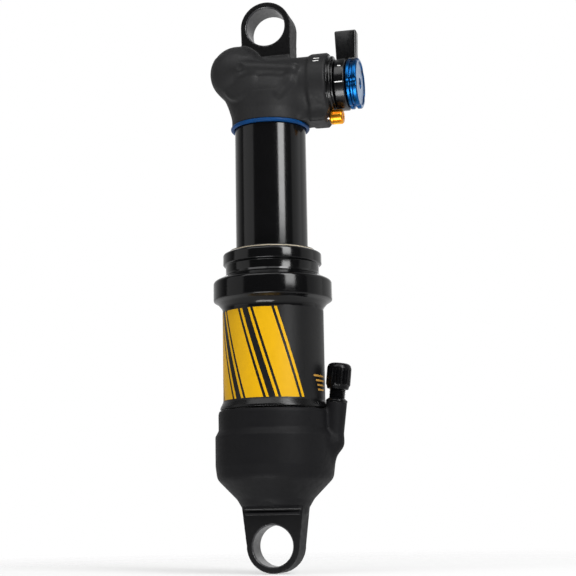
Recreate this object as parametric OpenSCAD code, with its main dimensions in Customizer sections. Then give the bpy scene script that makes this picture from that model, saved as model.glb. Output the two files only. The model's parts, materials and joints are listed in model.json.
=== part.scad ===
// Air-sprung rear shock absorber with a twin-tube damper.
// Frame: +Z along the shock from the lower eye to the upper eye, +Y along both eye bores,
// +X towards the adjuster knobs and the air valve. Origin at the centre of the lower eye.
// All sizes are in millimetres.

/* [Eyes] */
// Distance between the centres of the two eyes, fully extended
eye_to_eye = 210; // [209:0.5:212]
// Travel of the air can over the damper tube
stroke = 50; // [46:1:50]
// Bore of each eye, which takes a pressed bush
eye_bore = 16; // [15:0.5:16]
// Outside diameter of each eye
eye_od = 21; // [20:0.5:22]
// Width of each eye along its bore
eye_width = 12; // [11:0.5:12.7]
// Chamfer at each mouth of the bore
eye_chamfer = 0.45; // [0.3:0.05:0.6]

/* [Damper] */
// Outside diameter of the damper tube
tube_d = 29; // [28.8:0.1:29.2]
// Wall of the damper tube
tube_wall = 1.5; // [1.3:0.1:1.6]
// Outside diameter of the inner tube
inner_tube_d = 23.6; // [23:0.2:24]
// Bore of the inner tube, which the main piston runs in
inner_bore = 22; // [21.6:0.2:22]
// Diameter of the piston rod
rod_d = 9; // [8.6:0.2:9.2]
// Section of the rubber travel ring
travel_ring_d = 1.6; // [1.4:0.1:1.6]

/* [Air can] */
// Outside diameter of the air sleeve
sleeve_d = 40.4; // [40.2:0.1:40.6]
// Bore of the air sleeve, which the air piston runs in
sleeve_bore = 36.8; // [36.6:0.1:37]
// Outside diameter of the collar at the top of the sleeve
collar_d = 47.7; // [46.5:0.3:48]
// Outside diameter of the lower can
can_d = 47.1; // [46.5:0.3:47.7]
// Outside diameter of the ring on the can's top cap
cap_d = 39.7; // [39.4:0.1:40]

/* [Head] */
// Outside diameter of the adjuster barrel
barrel_d = 26.4; // [25.6:0.2:26.6]
// Bore of the adjuster barrel
barrel_bore = 18; // [17:0.5:18]
// Outside diameter of the oil reservoir
reservoir_d = 23; // [22.6:0.2:23.2]
// Bore of the oil reservoir
reservoir_bore = 18.6; // [18:0.2:18.8]
// Diameter of the low-speed knob
knob_d = 20.5; // [19.5:0.5:21]
// Diameter of the rebound knob
rebound_knob_d = 6; // [5.4:0.2:6]

/* [Air valve] */
// Outside diameter of the valve cap
valve_cap_d = 9.6; // [9.2:0.1:9.8]
// Outward lean of the valve from the shock's axis, in degrees
valve_lean = 6; // [5:0.5:7]

/* [Hidden] */
$fn = 64;
eps = 0.5;           // how far a cutting shape runs past the face it cuts
slip = 0.05;         // radial running clearance
nip = 0.02;          // radial gap of a screwed or pressed pair

bright_blue = [0.05, 0.25, 0.62];
gold = [0.85, 0.55, 0.08];
rubber = [0.06, 0.06, 0.065];
gloss_black = [0.05, 0.05, 0.055];
matte_black = [0.13, 0.13, 0.14];
steel = [0.72, 0.72, 0.74];
bronze = [0.62, 0.45, 0.22];
alloy = [0.78, 0.79, 0.8];
plastic = [0.2, 0.2, 0.22];

// Heights, from the lower eye
upper_z = eye_to_eye;
neck_z = upper_z - 41.4;                  // underside of the head's neck
barrel_z = upper_z - 26;                  // axis of the adjuster barrel
reservoir_z = upper_z - 19;               // axis of the reservoir
rebound_z = barrel_z - 13.8;              // axis of the rebound knob
wiper_top_z = neck_z - travel_ring_d - stroke - 0.05;
cap_top_z = wiper_top_z - 1.15;           // top face of the can's top cap
cap_seat_z = 106.4;                       // where the cap meets the sleeve
sleeve_seat_z = 53;                       // where the sleeve meets the lower can
cap_bottom_z = 96;                        // inner end of the cap
floor_z = 21;                             // inside floor of the lower can
flange_z = 79.5;                          // underside of the seal head's flange
flange_h = 10;
spigot_top_z = flange_z + flange_h + 7.5; // top of the seal head inside the tube
tube_top_z = neck_z + 4.4;                // end of the tube's thread in the head
piston_z = spigot_top_z + 4;              // underside of the main piston
piston_h = 8;
nut_h = 5;

// Places across the shock
reservoir_x = -12;
reservoir_front_y = -4;                   // centre of the reservoir's domed front end
reservoir_back_y = 18;
reservoir_cap_y = reservoir_back_y - 6;    // inner face of the reservoir's cap
barrel_end_x = 25.3;
detent_r = 7.6;                           // circle that the detent's ball presses on
rebound_y = -2;
gallery_y = -10.8;                        // oil gallery across the front of the head
gallery_z = reservoir_z + 0.5;
gallery_r = 3.8;
neck_r = 15.5;
tube_r = tube_d / 2;
tube_bore_r = tube_r - tube_wall;
spigot_r = 14;                            // thread at the top of the tube
eye_r = eye_bore / 2;
sleeve_r = sleeve_d / 2;
collar_r = collar_d / 2;
can_r = can_d / 2;
valve_base = [25.15, 0, 55];              // where the valve's axis leaves its boss
valve_boss_r = 4.3;
valve_stem_r = 3.85;
valve_neck_r = 3.2;

function arc(centre, r, from, to, steps = 6) =
  [for (i = [0:steps]) centre + r * [cos(from + (to - from) * i / steps), sin(from + (to - from) * i / steps)]];

module along_x(y = 0, z = 0) translate([0, y, z]) rotate([0, 90, 0]) children();
module along_y(x = 0, z = 0) translate([x, 0, z]) rotate([-90, 0, 0]) children();
module along_valve() translate(valve_base) rotate([0, valve_lean, 0]) children();
module rod(r, from, to) translate([0, 0, from]) cylinder(h = to - from, r = r);
module ring(inner, outer, from, to) rotate_extrude() translate([inner, from]) square([outer - inner, to - from]);
module o_ring(r, d, at) rotate_extrude() translate([r, at]) circle(d = d);
module around(count) for (i = [0:count - 1]) rotate([0, 0, 360 * i / count]) children();

// A chamfered through bore along the Y axis, for an eye
module eye_hole() {
  rod(eye_r, -eye_width, eye_width);
  for (side = [-1, 1])
    translate([0, 0, side * eye_width / 2]) mirror([0, 0, side < 0 ? 1 : 0])
      translate([0, 0, -eye_chamfer]) cylinder(h = 2 * eye_chamfer, r1 = eye_r, r2 = eye_r + 2 * eye_chamfer);
}

// ---------------------------------------------------------------- head and damper tube

module head_outside() {
  rotate_extrude() polygon(concat([[0, neck_z], [neck_r, neck_z]], arc([0, barrel_z - 2], neck_r, 0, 90, 12)));
  along_x(0, barrel_z) rod(barrel_d / 2, 0, barrel_end_x);
  // reservoir with its domed front end
  along_y(reservoir_x, reservoir_z) rod(reservoir_d / 2, reservoir_front_y, reservoir_back_y);
  translate([reservoir_x, reservoir_front_y, reservoir_z]) sphere(r = reservoir_d / 2);
  // shoulder between the reservoir and the neck
  translate([-9, -1, barrel_z - 4]) sphere(r = 10.5);
  // oil gallery across the front
  along_x(gallery_y, gallery_z) rod(gallery_r, -9, 11);
  for (x = [-9, 11]) translate([x, gallery_y, gallery_z]) sphere(r = gallery_r);
  // eye and its stalk
  along_y(0, upper_z) rod(eye_od / 2, -eye_width / 2, eye_width / 2);
  translate([0, eye_width / 2, 0]) rotate([90, 0, 0]) linear_extrude(eye_width)
    polygon([[-eye_od / 2, upper_z], [eye_od / 2, upper_z], [eye_od / 2 - 0.4, upper_z - 14],
             [eye_od / 2 + 1, barrel_z + 4], [-eye_od / 2 - 1, barrel_z + 4], [-eye_od / 2 + 0.6, upper_z - 14]]);
  // rebound adjuster boss below the barrel
  difference() {
    union() {
      along_x(rebound_y, rebound_z) rod(2.2, 8, barrel_end_x);
      translate([8, -7, rebound_z]) cube([barrel_end_x - 8, 12, barrel_z - rebound_z]);
    }
    rod(17.8, neck_z - 10, neck_z);
  }
}

module head_body() color(matte_black) difference() {
  head_outside();
  along_y(0, upper_z) eye_hole();
  rod(spigot_r, neck_z - eps, tube_top_z + 0.2);
  along_x(0, barrel_z) rod(barrel_bore / 2, 3, barrel_end_x + eps);
  along_y(reservoir_x, reservoir_z) {
    rod(reservoir_bore / 2, -10, reservoir_back_y + eps);
    ring(reservoir_bore / 2 - 1, reservoir_bore / 2 + 0.8, reservoir_cap_y + 4.2, reservoir_cap_y + 5.2);
  }
  // oil gallery, its link into the barrel, and the port from the inner tube
  along_x(gallery_y, gallery_z) rod(1.6, -10, 11);
  along_y(8, gallery_z - 0.5) rod(1.3, gallery_y, -4);
  translate([7, 0, 0]) rod(2, neck_z + 3, barrel_z - 6);
  // rebound needle bore and its gland seat
  along_x(rebound_y, rebound_z) {
    rod(1.1, 16, barrel_end_x + eps);
    rod(1.5, 19.5, barrel_end_x + eps);
  }
  translate([17.5, rebound_y, 0]) rod(0.9, rebound_z, barrel_z - 5);
}

module damper_tube() color(gloss_black) rotate_extrude()
  polygon([[tube_bore_r, flange_z + flange_h], [tube_r, flange_z + flange_h], [tube_r, neck_z - 0.02],
           [spigot_r - nip, neck_z - 0.02], [spigot_r - nip, tube_top_z - 0.6],
           [spigot_r - nip - 0.6, tube_top_z], [tube_bore_r, tube_top_z]]);

module inner_tube() color(steel) ring(inner_bore / 2, inner_tube_d / 2, spigot_top_z, tube_top_z);

module tube_joint_seal() color(rubber) o_ring(tube_bore_r - 0.5, 0.9, tube_top_z - 1);

module compression_housing() color(gloss_black) along_x(0, barrel_z) difference() {
  union() {
    rod(barrel_bore / 2 - nip, 15, barrel_end_x + 1);
    rotate_extrude() polygon(concat(
      [[0, barrel_end_x + 0.02], [12.2, barrel_end_x + 0.02]],
      arc([11.6, barrel_end_x + 1.7], 0.6, 0, 90, 3),
      [[11, barrel_end_x + 2.3], [11, barrel_end_x + 3], [0, barrel_end_x + 3]]));
  }
  // room for the rebound knob
  translate([barrel_z - rebound_z, rebound_y, barrel_end_x - 0.01]) cylinder(h = 6, r = rebound_knob_d / 2 + 0.5);
  rod(1.6, 14, 40);
  ring(barrel_bore / 2 - 0.9, barrel_bore / 2 + 1, 18, 19.3);
  // pocket that the lever's cam turns in, and the detent's hole
  rod(6.5, 20, 40);
  translate([detent_r, 0, 0]) rod(0.82, barrel_end_x - 1, 40);
}

module housing_seal() color(rubber) along_x(0, barrel_z) o_ring(barrel_bore / 2 - 0.45, 0.86, 18.65);

module compression_piston() color(bronze) along_x(0, barrel_z) difference() {
  rod(barrel_bore / 2 - nip, 6, 10);
  rod(2.5, 5, 11);
  around(6) translate([5.6, 0, 0]) rod(1, 5, 11);
}

module compression_shims() color(steel) along_x(0, barrel_z) {
  for (i = [0:3]) ring(2.52, 7.6 - 0.9 * i, 10.05 + 0.35 * i, 10.35 + 0.35 * i);
}

module compression_bolt() color(steel) along_x(0, barrel_z) difference() {
  union() {
    rod(2.48, 4, 14.9);
    rod(4, 12.2, 14.9);
    rod(3.6, 4, 5.95);
  }
  rod(1.4, 3, 16);
}

module detent_spring() color(steel)
  along_x(0, barrel_z) translate([detent_r, 0, 0]) ring(0.45, 0.78, barrel_end_x - 0.9, barrel_end_x + 1.9);

module detent_ball() color(steel)
  along_x(0, barrel_z) translate([detent_r, 0, barrel_end_x + 2.7]) sphere(r = 0.74);

module rebound_gland() color(bronze) along_x(rebound_y, rebound_z) ring(0.95, 1.5 - nip, 19.6, 24.4);

module reservoir_cap() color(gloss_black) along_y(reservoir_x, reservoir_z) difference() {
  rod(reservoir_bore / 2 - nip, reservoir_cap_y, reservoir_cap_y + 4.15);
  ring(reservoir_bore / 2 - 0.95, reservoir_bore, reservoir_cap_y + 1.3, reservoir_cap_y + 2.6);
  rod(1.9, reservoir_cap_y - eps, reservoir_cap_y + 5);
}

module reservoir_cap_seal() color(rubber) along_y(reservoir_x, reservoir_z)
  o_ring(reservoir_bore / 2 - 0.48, 0.9, reservoir_cap_y + 1.95);

module reservoir_circlip() color(steel) along_y(reservoir_x, reservoir_z) difference() {
  ring(reservoir_bore / 2 - 0.9, reservoir_bore / 2 + 0.7, reservoir_cap_y + 4.25, reservoir_cap_y + 5.15);
  translate([0, 0, reservoir_cap_y + 4]) rotate([0, 0, 60]) cube([reservoir_bore, 2.4, 2]);
}

module gas_fill_screw() color(steel) along_y(reservoir_x, reservoir_z) difference() {
  union() {
    rod(1.88, reservoir_cap_y + 0.5, reservoir_cap_y + 4.2);
    rod(3.4, reservoir_cap_y + 4.2, reservoir_cap_y + 5.6);
  }
  translate([0, 0, reservoir_cap_y + 4.4]) cylinder(h = 2, r = 1.3, $fn = 6);
}

// The seal head closes the damper tube; its flange is the air piston
module seal_head() color(alloy) difference() {
  union() {
    rod(sleeve_bore / 2 - 0.25, flange_z, flange_z + flange_h);
    rod(tube_bore_r - nip, flange_z + flange_h, spigot_top_z);
  }
  rod(rod_d / 2 + 0.3, flange_z - eps, spigot_top_z + eps);
  ring(sleeve_bore / 2 - 2, sleeve_bore, flange_z + 1.8, flange_z + 4.4);
  ring(sleeve_bore / 2 - 1.1, sleeve_bore, flange_z + 5.8, flange_z + 8.8);
  rod(6.5, flange_z - eps, flange_z + 2.4);
  rod(7.5, flange_z + 4, flange_z + 7.4);
  rod(rod_d / 2 + 1.1, flange_z + 9.5, spigot_top_z - 1);
}

module air_piston_seal() color(rubber)
  ring(sleeve_bore / 2 - 1.98, sleeve_bore / 2 - 0.02, flange_z + 1.85, flange_z + 4.35);
module air_piston_band() color(bronze)
  ring(sleeve_bore / 2 - 1.08, sleeve_bore / 2 - slip, flange_z + 5.85, flange_z + 8.75);
module rod_scraper() color(rubber) ring(rod_d / 2 + nip, 6.48, flange_z + 0.1, flange_z + 2.35);
module rod_oil_seal() color(rubber) ring(rod_d / 2 + nip, 7.48, flange_z + 4.05, flange_z + 7.35);
module rod_bush() color(bronze)
  ring(rod_d / 2 + slip, rod_d / 2 + 1.08, flange_z + 9.55, spigot_top_z - 1.05);

module floating_piston() color(alloy) along_y(reservoir_x, reservoir_z) difference() {
  rod(reservoir_bore / 2 - slip, -9.4, -4.9);
  ring(reservoir_bore / 2 - 1.1, reservoir_bore, -8, -6.2);
  rod(6.5, -6.1, -4);
}

module floating_piston_seal() color(rubber) along_y(reservoir_x, reservoir_z)
  ring(reservoir_bore / 2 - 1.08, reservoir_bore / 2 - 0.03, -7.95, -6.25);

module travel_ring() color(bright_blue)
  o_ring(tube_r + travel_ring_d / 2 + 0.02, travel_ring_d, neck_z - travel_ring_d / 2 - 0.01);

// ---------------------------------------------------------------- adjusters

lever_from = barrel_end_x + 3.15;
lever_to = lever_from + 4.7;

module mode_lever() color(gloss_black) along_x(0, barrel_z) difference() {
  union() {
    rotate_extrude() polygon(concat([[0, lever_from], [9.9, lever_from], [10.6, lever_from + 0.8]],
      arc([10.1, lever_to - 0.5], 0.5, 0, 90, 3), [[0, lever_to]]));
    // paddle, rounded over its top
    difference() {
      union() {
        translate([-22.4, -2.6, lever_from + 0.2]) cube([14, 5.2, 8.5]);
        translate([-22.4, -2.6, lever_from - 0.5]) cube([7.6, 5.2, 2]);
      }
      rod(10.62, lever_to - eps, lever_to + 8);
    }
  }
  rod(3.5, lever_from - eps, lever_to + eps);
  ring(detent_r - 0.8, detent_r + 0.8, lever_from - eps, lever_from + 0.75);
  for (side = [-1, 1])
    translate([-22.4, side * 2.6, 0]) rotate([0, 0, 45]) translate([-0.9, -0.9, 20]) cube([1.8, 1.8, 20]);
}

module lever_cam() color(steel) along_x(0, barrel_z) difference() {
  union() {
    rod(6.3, 21.2, 24);
    rod(3.48, 21.2, lever_to - 0.4);
  }
  rod(1.7, 20, lever_to + 1);
}

module low_speed_knob() color(bright_blue) along_x(0, barrel_z) difference() {
  rotate_extrude() polygon([
    [0, lever_to + 0.3], [knob_d / 2 - 0.4, lever_to + 0.3], [knob_d / 2, lever_to + 0.7],
    [knob_d / 2, lever_to + 1.8], [knob_d / 2 - 0.9, lever_to + 2.2], [knob_d / 2 - 0.9, lever_to + 2.9],
    [knob_d / 2, lever_to + 3.3], [knob_d / 2, lever_to + 4.6], [knob_d / 2 - 0.4, lever_to + 5],
    [knob_d / 2 - 1.3, lever_to + 5], [knob_d / 2 - 1.8, lever_to + 4.5], [0, lever_to + 4.5]]);
  rod(1.6, lever_to, lever_to + 3);
  rod(2.2, lever_to + 3, lever_to + 8);
  around(8) translate([knob_d / 2 + 2.1, 0, 0]) rod(3, lever_to, lever_to + 8);
  // the lever's paddle overhangs the knob's inner flange
  ring(knob_d / 2 + 0.2, knob_d, lever_to, lever_to + 4);
}

module knob_screw() color(steel) along_x(0, barrel_z) difference() {
  union() {
    rod(1.55, lever_to + 1.6, lever_to + 3.05);
    rod(2.15, lever_to + 3.05, lever_to + 4.3);
  }
  translate([0, 0, lever_to + 3.4]) cylinder(h = 2, r = 1.1, $fn = 6);
}

module low_speed_needle() color(steel) along_x(0, barrel_z) {
  rod(1.3, 8, lever_to + 1.2);
  translate([0, 0, 5.5]) cylinder(h = 2.5, r1 = 0.2, r2 = 1.3);
}

module rebound_knob() color(gold) along_x(rebound_y, rebound_z) difference() {
  union() {
    rotate_extrude() polygon([[0, barrel_end_x + 0.5], [rebound_knob_d / 2 - 0.5, barrel_end_x + 0.5],
      [rebound_knob_d / 2, barrel_end_x + 1], [rebound_knob_d / 2, barrel_end_x + 5.2],
      [rebound_knob_d / 2 - 0.5, barrel_end_x + 5.8], [0, barrel_end_x + 5.8]]);
    rod(1.4, barrel_end_x + 0.1, barrel_end_x + 0.6);
  }
  around(8) translate([rebound_knob_d / 2 + 0.35, 0, 0]) rod(0.8, barrel_end_x + 2, barrel_end_x + 8);
  translate([0, 0, barrel_end_x + 5]) cylinder(h = 3, r = 1.2, $fn = 6);
  rod(0.95, barrel_end_x, barrel_end_x + 2.6);
}

module rebound_needle() color(steel) along_x(rebound_y, rebound_z) {
  rod(0.9, 18.5, barrel_end_x + 1.6);
  translate([0, 0, 17]) cylinder(h = 1.5, r1 = 0.2, r2 = 0.9);
}

// ---------------------------------------------------------------- rod and main piston

module piston_rod() color(steel) {
  rod(3.98, 12.6, floor_z);
  rod(rod_d / 2, floor_z, piston_z - 1.6);
  rod(3, piston_z - 1.6, piston_z + piston_h + nut_h + 2.4);
}

module main_piston() color(bronze) difference() {
  rod(inner_bore / 2 - 0.2, piston_z, piston_z + piston_h);
  rod(3 + nip, piston_z - eps, piston_z + piston_h + eps);
  ring(inner_bore / 2 - 1.1, inner_bore, piston_z + 2, piston_z + 6);
  around(6) translate([6.2, 0, 0]) rod(1.2, piston_z - eps, piston_z + piston_h + eps);
}

module piston_band() color(plastic)
  ring(inner_bore / 2 - 1.05, inner_bore / 2 - 0.04, piston_z + 2.05, piston_z + 5.95);

module piston_shims() color(steel) {
  for (i = [0:3])
    ring(3 + nip, 8.6 - 1.1 * i, piston_z + piston_h + 0.05 + 0.35 * i, piston_z + piston_h + 0.35 + 0.35 * i);
  for (i = [0:2]) ring(3 + nip, 8.6 - 1.3 * i, piston_z - 0.35 - 0.4 * i, piston_z - 0.05 - 0.4 * i);
}

module piston_nut() color(steel) difference() {
  translate([0, 0, piston_z + piston_h + 1.5]) cylinder(h = nut_h, r = 5.8, $fn = 6);
  rod(3 + nip, piston_z, piston_z + 30);
}

module rod_top_out_ring() color(rubber) ring(rod_d / 2 + nip, 8, spigot_top_z + 0.1, piston_z - 1.65);

module bottom_out_bumper() color(rubber) rotate_extrude()
  polygon([[rod_d / 2 + 0.1, floor_z + 0.02], [11, floor_z + 0.02], [11, floor_z + 4.6], [9.4, floor_z + 5.6],
           [10, floor_z + 7.4], [9, floor_z + 8.2], [rod_d / 2 + 0.1, floor_z + 8.2]]);

// ---------------------------------------------------------------- air can

module air_sleeve() color(gloss_black) rotate_extrude() polygon(concat(
  [[sleeve_bore / 2, 27.5], [sleeve_r - 0.4, 27.5], [sleeve_r - nip, 28.5], [sleeve_r - nip, sleeve_seat_z],
   [sleeve_r + 1.4, sleeve_seat_z], [sleeve_r + 1.4, sleeve_seat_z + 0.5]],
  arc([sleeve_r + 2.6, sleeve_seat_z + 3.1], 2.6, 230, 180, 5),
  arc([sleeve_r + 2.2, 93.2], 2.2, 180, 125, 5),
  [[collar_r - 0.9, 96]],
  arc([collar_r - 0.8, 97.2], 0.8, -45, 0, 3),
  arc([collar_r - 1.4, 102.6], 1.4, 0, 70, 4),
  [[sleeve_r + 0.1, 105.4], [19.3, cap_seat_z], [18, cap_seat_z], [18, cap_bottom_z - 0.5],
   [sleeve_bore / 2, cap_bottom_z - 1.5]]));

module can_top_cap() color(gloss_black) rotate_extrude() polygon(concat(
  [[tube_r + 0.15, cap_bottom_z], [17.5, cap_bottom_z], [17.5, cap_bottom_z + 1], [16.3, cap_bottom_z + 1],
   [16.3, cap_bottom_z + 2.6], [18 - nip, cap_bottom_z + 2.6], [18 - nip, cap_seat_z + 0.02],
   [cap_d / 2 - 0.75, cap_seat_z + 0.02], [cap_d / 2 - 1.05, cap_seat_z + 1], [cap_d / 2 - 1.05, 110]],
  arc([cap_d / 2 - 0.8, 111.4], 0.8, -70, 0, 4),
  arc([cap_d / 2 - 1.4, cap_top_z - 1.4], 1.4, 0, 80, 5),
  [[17.25, cap_top_z], [17.25, cap_top_z - 3.6], [tube_r + 1, cap_top_z - 3.6], [tube_r + 1, 103.8],
   [tube_r + 0.15, 103.8], [tube_r + 0.15, 102.4], [tube_r + 1.7, 102.4], [tube_r + 1.7, 99.6],
   [tube_r + 0.15, 99.6]]));

module cap_seal() color(rubber) o_ring(17.15, 1.5, cap_bottom_z + 1.8);
module can_air_seal() color(rubber) ring(tube_r + nip, tube_r + 1.68, 99.65, 102.35);
module can_bush() color(bronze) ring(tube_r + slip, tube_r + 0.98, 103.85, cap_top_z - 3.65);
module wiper_retaining_ring() color(alloy) ring(16.3, 17.4, cap_top_z + 0.34, cap_top_z + 0.74);

module wiper_seal() color(rubber) rotate_extrude() polygon([
  [tube_r + 0.25, cap_top_z - 3.55], [17.2, cap_top_z - 3.55], [17.2, cap_top_z + 0.04], [17.9, cap_top_z + 0.04],
  [17.9, cap_top_z + 0.26], [17.8, cap_top_z + 0.32], [16.25, cap_top_z + 0.32], [16.25, cap_top_z + 0.76],
  [17.3, cap_top_z + 0.76], [17.1, wiper_top_z - 0.12], [tube_r + 0.6, wiper_top_z],
  [tube_r + nip, wiper_top_z - 0.3], [tube_r + nip, wiper_top_z - 0.7], [tube_r + 0.8, cap_top_z - 1.2]]);

module top_out_bumper() color(rubber) rotate_extrude()
  polygon([[tube_r + 0.4, flange_z + flange_h + 0.3], [17.4, flange_z + flange_h + 0.3],
           [17.9, flange_z + flange_h + 2.5],
           [17.4, cap_bottom_z - 0.02], [tube_r + 0.4, cap_bottom_z - 0.02]]);

module can_outside() {
  rotate_extrude() polygon(concat(
    [[0, 9.5], [11.2, 10.5], [12.7, 12.6], [13.1, 14], [13.8, 15.6], [15.1, 17.6], [22.4, 25.4]],
    arc([can_r - 2.4, 27.2], 2.4, -35, 0, 4),
    arc([can_r - 0.8, 41.2], 0.8, 0, 50, 3),
    arc([can_r - 0.5, 44.8], 0.8, 230, 180, 3),
    arc([can_r - 2.5, 51.7], 1.2, 0, 75, 4),
    [[can_r - 2.6, sleeve_seat_z - 0.02], [0, sleeve_seat_z - 0.02]]));
  // eye with its stalk widening into the can
  along_y() rod(eye_od / 2, -eye_width / 2, eye_width / 2);
  translate([0, eye_width / 2, 0]) rotate([90, 0, 0]) linear_extrude(eye_width)
    polygon([[-eye_od / 2 + 0.05, -1], [eye_od / 2 - 0.05, -1], [11.4, 7], [13.2, 15], [-13.2, 15], [-11.4, 7]]);
  // valve boss, running down into the can's wall
  difference() {
    hull() {
      along_valve() rod(valve_boss_r, -9, 0);
      translate([22.2, 0, 38]) sphere(r = 3.6, $fn = 32);
    }
    rod(sleeve_r + 1.7, sleeve_seat_z - 0.02, 70);
  }
}

module lower_can() color(matte_black) difference() {
  union() {
    difference() {
      can_outside();
      // flats either side of the eye
      for (side = [-1, 1])
        translate([-15, side > 0 ? eye_width / 2 : -30 - eye_width / 2, -12]) cube([30, 30, 27.2]);
    }
    // bead along the top of each flat
    for (side = [-1, 1])
      translate([-10.9, side * eye_width / 2, 12.7]) rotate([0, 90, 0]) cylinder(h = 21.8, r = 0.6, $fn = 24);
  }
  along_y() eye_hole();
  // air chamber, the sleeve's socket and the rod's threaded hole
  rotate_extrude() polygon([[0, floor_z], [15, floor_z], [20.9, 27], [21.3, 28], [21.3, 43.6], [sleeve_r, 44.6],
                            [sleeve_r, sleeve_seat_z + eps], [0, sleeve_seat_z + eps]]);
  rotate_extrude() translate([sleeve_r, 48.6]) square([0.9, 1.6]);
  rod(4, 12.5, floor_z + eps);
  along_valve() {
    rod(3, -5, eps);
    rod(1.2, -14, 0);
  }
  translate([19, 0, 42.5]) rotate([0, 90, 0]) cylinder(h = 5, r = 1.2);
}

module sleeve_seal() color(rubber) ring(sleeve_r, sleeve_r + 0.88, 48.65, 50.15);

module volume_spacer() color(plastic) difference() {
  ring(12, 15.5, floor_z + 0.7, floor_z + 3.2);
  translate([0, -1.5, floor_z]) cube([20, 3, 5]);
}

// ---------------------------------------------------------------- air valve, in its own leaning frame

module valve_stem() color(gloss_black) along_valve() difference() {
  union() {
    rod(3 - nip, -4.9, 0.02);
    rotate_extrude() polygon([[0, 0.02], [4.2, 0.02], [4.2, 0.8], [3.6, 1.6], [valve_neck_r, 2.2],
      [valve_neck_r, 5.4],
                              [valve_stem_r - 0.3, 5.8], [valve_stem_r, 6.3], [valve_stem_r, 12.9],
                              [valve_stem_r - 0.5, 13.5], [0, 13.5]]);
  }
  for (i = [0:2]) ring(valve_neck_r - 0.25, valve_neck_r + 1, 2.6 + 0.9 * i, 3 + 0.9 * i);
  rod(1.95, 4, 14);
  rod(1.2, -6, 5);
  ring(2.2, 4, -3.2, -1.8);
}

module valve_stem_seal() color(rubber) along_valve() o_ring(2.58, 0.76, -2.5);

module valve_core() color(bronze) along_valve() difference() {
  rod(1.95 - nip, 4.02, 12.6);
  rod(0.75, 3, 13);
}

module valve_pin() color(steel) along_valve() {
  rod(0.68, 2.9, 12.9);
  rod(1.1, 2.2, 2.9);
}

module valve_cap_washer() color(rubber) along_valve() ring(1.4, valve_stem_r, 13.55, 14.2);

module valve_cap() color(gloss_black) along_valve() difference() {
  rotate_extrude() polygon(concat(
    [[0, 5.35], [valve_cap_d / 2 - 0.6, 5.35], [valve_cap_d / 2 - 0.3, 6.6], [valve_cap_d / 2, 7]],
    arc([valve_cap_d / 2 - 1.6, 13.9], 1.6, 0, 80, 5), [[0, 15.6]]));
  rod(valve_stem_r + slip, 5, 14.22);
  around(16) translate([valve_cap_d / 2 + 0.25, 0, 0]) rod(0.5, 7, 12.6);
}

head_body();
damper_tube();
inner_tube();
tube_joint_seal();
compression_housing();
housing_seal();
compression_piston();
compression_shims();
compression_bolt();
detent_ball();
detent_spring();
rebound_gland();
reservoir_cap();
reservoir_cap_seal();
reservoir_circlip();
gas_fill_screw();
seal_head();
air_piston_seal();
air_piston_band();
rod_bush();
rod_oil_seal();
rod_scraper();
floating_piston();
floating_piston_seal();
travel_ring();
mode_lever();
lever_cam();
low_speed_knob();
knob_screw();
low_speed_needle();
rebound_knob();
rebound_needle();
piston_band();
air_sleeve();
can_top_cap();
wiper_seal();
wiper_retaining_ring();
can_bush();
can_air_seal();
cap_seal();
top_out_bumper();
lower_can();
sleeve_seal();
volume_spacer();
piston_rod();
main_piston();
piston_shims();
piston_nut();
rod_top_out_ring();
bottom_out_bumper();
valve_stem();
valve_stem_seal();
valve_core();
valve_pin();
valve_cap_washer();
valve_cap();
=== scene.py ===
"""Looks of the rear shock absorber. Sizes here are in millimetres until they enter Blender."""
import json
import math

import bpy
import bmesh
import numpy as np
from mathutils import Matrix, Vector

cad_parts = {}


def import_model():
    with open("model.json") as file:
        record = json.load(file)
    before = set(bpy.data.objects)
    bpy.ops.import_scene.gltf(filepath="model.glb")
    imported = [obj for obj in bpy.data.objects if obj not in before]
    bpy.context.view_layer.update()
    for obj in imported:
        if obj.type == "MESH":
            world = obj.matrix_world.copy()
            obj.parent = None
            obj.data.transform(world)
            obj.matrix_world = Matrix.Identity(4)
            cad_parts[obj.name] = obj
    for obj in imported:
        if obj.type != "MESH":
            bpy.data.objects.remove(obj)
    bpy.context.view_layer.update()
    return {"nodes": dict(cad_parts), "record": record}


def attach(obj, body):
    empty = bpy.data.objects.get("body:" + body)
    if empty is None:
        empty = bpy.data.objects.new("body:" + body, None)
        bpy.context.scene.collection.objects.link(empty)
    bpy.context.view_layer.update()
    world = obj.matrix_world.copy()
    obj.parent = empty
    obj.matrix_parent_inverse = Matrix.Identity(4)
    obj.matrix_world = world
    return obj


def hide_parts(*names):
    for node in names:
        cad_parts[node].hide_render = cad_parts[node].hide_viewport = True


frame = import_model()
MM = 0.001

# The lower eye's axis is at height 0 and runs along Y; the shock stands along Z.
UPPER_Z = 210.0  # axis of the upper eye
NECK_Z = 168.6  # underside of the head, where the tube enters it
BARREL_Z = 184.0  # axis of the adjuster barrel, which runs along X
BARREL_END = 25.3
REBOUND_Y, REBOUND_Z = -2.0, BARREL_Z - 13.8
RES_X, RES_Z, RES_R = -12.0, 191.0, 11.5  # reservoir, whose axis runs along Y
VALVE_LEAN = math.radians(6)
VALVE_BASE = (25.15, 0, 55)  # where the valve body stands on its arm
EYE_R, EYE_BORE, EYE_HALF = 10.48, 8.0, 6.0
HEAD_FLATS, CAN_FLATS = 196.9, 15.2  # heights where the flats milled beside the eyes end

# ------------------------------------------------------------------ camera

# Found by matching the photo. Angles are in degrees, lengths in millimetres.
CAMERA_AZIMUTH, CAMERA_ELEVATION, CAMERA_ROLL = 14.27, -9.65, -0.87
CAMERA_AIM, CAMERA_DISTANCE = (0, 0, 103.5), 567.2
LENS, SENSOR_WIDTH = 88.12, 36
LENS_SHIFT = 0.0266, -0.0064


def new_object(name, data):
    obj = bpy.data.objects.new(name, data)
    bpy.context.scene.collection.objects.link(obj)
    return obj


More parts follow.
